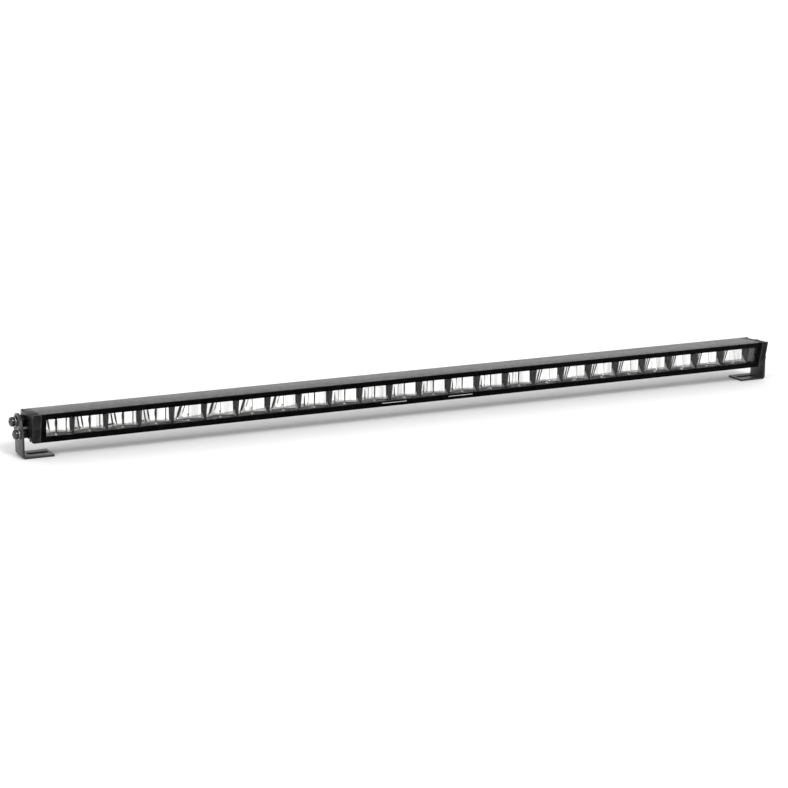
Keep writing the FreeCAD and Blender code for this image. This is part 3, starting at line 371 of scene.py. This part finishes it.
moulding_low, moulding_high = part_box("reflector_1")
MODULE_GAP, MOULDING_WALL, SHELL_GAP = 0.3 * MM, 1.5 * MM, 0.1 * MM
CUP_PITCH = (moulding_high[0] - moulding_low[0] + MODULE_GAP) / CUPS
CUP_HALF = 24.3 * MM
CUP_RISE = 9 * MM
CUP_REAR_Y = moulding_high[1] - MOULDING_WALL
CUP_FOOT_Z, CUP_ROOF_Z = moulding_low[2] + SHELL_GAP, moulding_high[2] - MOULDING_WALL - SHELL_GAP
CUP_RADIUS = (CUP_HALF ** 2 + CUP_RISE ** 2) / (2 * CUP_RISE)


def slit_edges(slit, share):
    """Both edges of a slit at this share of the cup's height."""
    foot, roof, half, start, end = slit
    middle = foot + (roof - foot) * share
    reach = 1 - ((2 * share - start - end) / (end - start)) ** 2
    open_half = half * math.sqrt(reach) if reach > 0 else 0.0
    return middle - open_half, middle + open_half


def wall_y(across):
    """How far back the plain curved wall is, this share of the way across."""
    return CUP_REAR_Y - SHELL_FORWARD - CUP_RADIUS + math.sqrt(CUP_RADIUS ** 2 - (across * CUP_HALF) ** 2)


def flute_y(start, end, across):
    """A flute of the wall; on the left of a cup they lie flatter, so that each faces forward."""
    middle = (start + end) / 2
    follow = LEFT_FOLLOW if middle < 0 else 1.0
    return wall_y(middle) + follow * (wall_y(across) - wall_y(middle))


def cup_point(kind, column, share):
    """A point of a cup's bright wall: flutes and slits take turns across it."""
    edges = [-1.0]
    for slit in CUP_SLITS[kind]:
        edges.extend(slit_edges(slit, share))
    edges.append(CUP_END)
    span = 0
    counts = FLUTE_COLUMNS, SLIT_COLUMNS
    while column > counts[span % 2]:
        column -= counts[span % 2]
        span += 1
    part = column / counts[span % 2]
    start, end = edges[span], edges[span + 1]
    across = start + (end - start) * part
    hump = 4 * part * (1 - part)
    if span % 2:
        left, right = flute_y(edges[span - 1], start, start), flute_y(end, edges[span + 2], end)
        depth = SLIT_DEPTH * min(1.0, (end - start) / FULL_DEPTH_WIDTH)
        y = left + (right - left) * part + depth * math.sqrt(hump)
    else:
        y = flute_y(start, end, across) - FLUTE_BULGE * hump * min(1.0, (end - start) / FULL_BULGE_WIDTH)
    high = CUP_ROOF_Z - CUP_FOOT_Z
    lip_high = LIP_HIGH + CUP_LIP[kind] * max(0.0, across - LIP_START)
    y += SHELL_LEAN * share * (2 - share)
    y -= LIP_SLOPE * lip_high * high / 2 * max(0.0, 1 - share / lip_high) ** 2
    return across * CUP_HALF, y, CUP_FOOT_Z + high * share


def shape_flare(kind, side):
    """The curved corner at the foot of a cup's wall, where it runs forward along the cup's side."""
    bpy.ops.object.select_all(action="DESELECT")
    bpy.ops.mesh.primitive_grid_add(x_subdivisions=FLARE_COLUMNS, y_subdivisions=FLARE_ROWS, size=1)
    flare = bpy.context.object
    dress(flare, painted_flare_reflection)
    highest, deepest = CUP_FLARE[kind]
    for vertex in flare.data.vertices:
        forward, up = vertex.co.x + 0.5, vertex.co.y + 0.5
        high = highest * ((1 - forward) ** 2 + FLARE_TIP)
        vertex.co = (side * (CUP_HALF - FLARE_LEAN * high * (1 - up)),
                     wall_y(CUP_END) - deepest * forward, CUP_FOOT_Z + high * up)
    wall = flare.modifiers.new("wall", "SOLIDIFY")
    wall.thickness = FLARE_THICK
    return finish_modifiers(flare)


def shape_cup(kind):
    """One bright cup wall, from a grid whose columns follow the slits."""
    slits = len(CUP_SLITS[kind])
    columns = (slits + 1) * FLUTE_COLUMNS + slits * SLIT_COLUMNS
    bpy.ops.object.select_all(action="DESELECT")
    bpy.ops.mesh.primitive_grid_add(x_subdivisions=columns, y_subdivisions=CUP_ROWS, size=1)
    cup = bpy.context.object
    dress(cup, plating)
    cup.data.materials.append(cup_dark)
    period = FLUTE_COLUMNS + SLIT_COLUMNS
    # faces in the slits take the dark moulding colour: painted dark reflections, in grooves that are real
    # geometry
    for face in cup.data.polygons:
        if int((face.center.x + 0.5) * columns) % period >= FLUTE_COLUMNS:
            face.material_index = 1
    for vertex in cup.data.vertices:
        column = round((vertex.co.x + 0.5) * columns)
        vertex.co = cup_point(kind, column, vertex.co.y + 0.5)
    wall = cup.modifiers.new("wall", "SOLIDIFY")
    wall.thickness = SHELL_THICK
    wall.offset = -1
    finish_modifiers(cup)
    flares = [shape_flare(kind, side) for side in (-1, 1)]
    pick(cup)
    for flare in flares:
        flare.select_set(True)
    bpy.ops.object.join()
    bpy.ops.object.shade_smooth_by_angle(angle=math.radians(SHELL_SMOOTH))
    return cup


cup_shapes = {kind: shape_cup(kind) for kind in CUP_SLITS}
for number, kind in enumerate(CUP_ORDER, start=1):
    dress(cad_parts[f"reflector_{number}"], cup_dark)
    module_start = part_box(f"reflector_{number}")[0][0]
    cups = []
    for cell in range(CUPS):
        cup = bpy.data.objects.new(f"cup_{number}_{cell}", cup_shapes[kind].data.copy())
        bpy.context.scene.collection.objects.link(cup)
        cup.data.transform(Matrix.Translation((module_start + (cell + 0.5) * CUP_PITCH, 0, 0)))
        cups.append(cup)
    shell = pick(cups[0])
    for cup in cups[1:]:
        cup.select_set(True)
    bpy.ops.object.join()
    shell.name = f"reflector_{number}_shell"
    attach(shell, "light")
for cup in cup_shapes.values():
    bpy.data.objects.remove(cup)

# ------------------------------------------------------------ boards, LEDs and driver
# Six aluminium-cored LED boards lie under the reflectors, held by small zinc screws. A green
# driver board and its moulded parts feed them, and a plain dark blank fills the last bay.
COMPONENT_EDGE, SCREW_EDGE = 0.3 * MM, 0.12 * MM
board_grey = coated_finish("board_grey", (0.17, 0.17, 0.17, 1), (0.25, 0.25, 0.25, 1), 0.5, 500, depth=0.1)
for number in range(1, len(CUP_ORDER) + 1):
    dress(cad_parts[f"led_board_{number}"], board_grey)
led_white = coated_finish("led_white", (0.95, 0.94, 0.88, 1), (1, 1, 0.96, 1), 0.3, 900, depth=0.05)
dress(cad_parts["leds"], led_white)
blank_grey = coated_finish("blank_grey", (0.045, 0.045, 0.046, 1), (0.1, 0.1, 0.1, 1), 0.5, 700, depth=0.2)
dress(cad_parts["end_blank"], blank_grey)
circuit_green = coated_finish("circuit_green", (0.01, 0.08, 0.035, 1), (0.1, 0.3, 0.1, 1), 0.35, 500)
dress(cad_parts["driver_board"], circuit_green)
moulded_epoxy = coated_finish("moulded_epoxy", (0.02, 0.02, 0.021, 1), (0.06, 0.06, 0.06, 1), 0.55, 800)
edged_copy("driver_components", COMPONENT_EDGE, moulded_epoxy)
zinc = coated_finish("zinc_plate", (0.42, 0.42, 0.43, 1), (0.7, 0.7, 0.7, 1), 0.3, 900, depth=0.15,
                     Metallic=1.0)
edged_copy("board_screws", SCREW_EDGE, zinc)

# ------------------------------------------------------------ end caps and brackets
# Die-cast caps, powder painted black, close both ends. Each hangs on a bent steel bracket by an
# upper pivot bolt and a lower lock bolt, which slides in a curved slot to set the tilt.
CASTING_EDGE, BRACKET_EDGE, HARDWARE_EDGE = 0.5 * MM, 0.5 * MM, 0.15 * MM
cap_paint = coated_finish("cap_paint", (0.003, 0.003, 0.0032, 1), (0.05, 0.05, 0.05, 1), 0.38, 500,
                          depth=0.35, wear=0.5, Specular_IOR_Level=0.14)
steel_paint = coated_finish("steel_paint", (0.012, 0.012, 0.013, 1), (0.10, 0.10, 0.10, 1), 0.36, 420,
                            depth=0.3, wear=0.6, Specular_IOR_Level=0.4)
bolt_black = coated_finish("bolt_black", (0.005, 0.005, 0.005, 1), (0.08, 0.08, 0.08, 1), 0.14, 900,
                           depth=0.12, Specular_IOR_Level=0.9)
washer_black = coated_finish("washer_black", (0.012, 0.012, 0.012, 1), (0.15, 0.15, 0.15, 1), 0.3, 900,
                             depth=0.15, Specular_IOR_Level=0.4)
nylon = coated_finish("black_nylon", (0.02, 0.02, 0.02, 1), (0.05, 0.05, 0.05, 1), 0.5, 700, depth=0.2)
for side in ("left", "right"):
    edged_copy(f"{side}_end_cap", CASTING_EDGE, cap_paint)
    edged_copy(f"{side}_bracket", BRACKET_EDGE, steel_paint, body="brackets")
    for name in ("pivot_bolt", "lock_bolt", "cap_screws"):
        edged_copy(f"{side}_{name}", HARDWARE_EDGE, bolt_black)
    edged_copy(f"{side}_flat_washers", HARDWARE_EDGE, zinc)
    edged_copy(f"{side}_spring_washers", HARDWARE_EDGE, washer_black)
    edged_copy(f"{side}_nylon_rings", HARDWARE_EDGE, nylon)
    dress(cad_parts[f"{side}_thread_inserts"], zinc)

# ------------------------------------------------------------ cable gland and vent
# A black nylon gland on the rear waits for the cable, and beside it a screwed plug holds a white
# membrane that lets the housing breathe and keeps water out.
GLAND_EDGE = 0.2 * MM
for name in ("gland_body", "gland_nut", "gland_lock_nut", "vent_plug"):
    edged_copy(name, GLAND_EDGE, nylon)
membrane_white = coated_finish("membrane_white", (0.7, 0.7, 0.68, 1), (0.8, 0.8, 0.8, 1), 0.9, 1500,
                               depth=0.5)
dress(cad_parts["vent_membrane"], membrane_white)
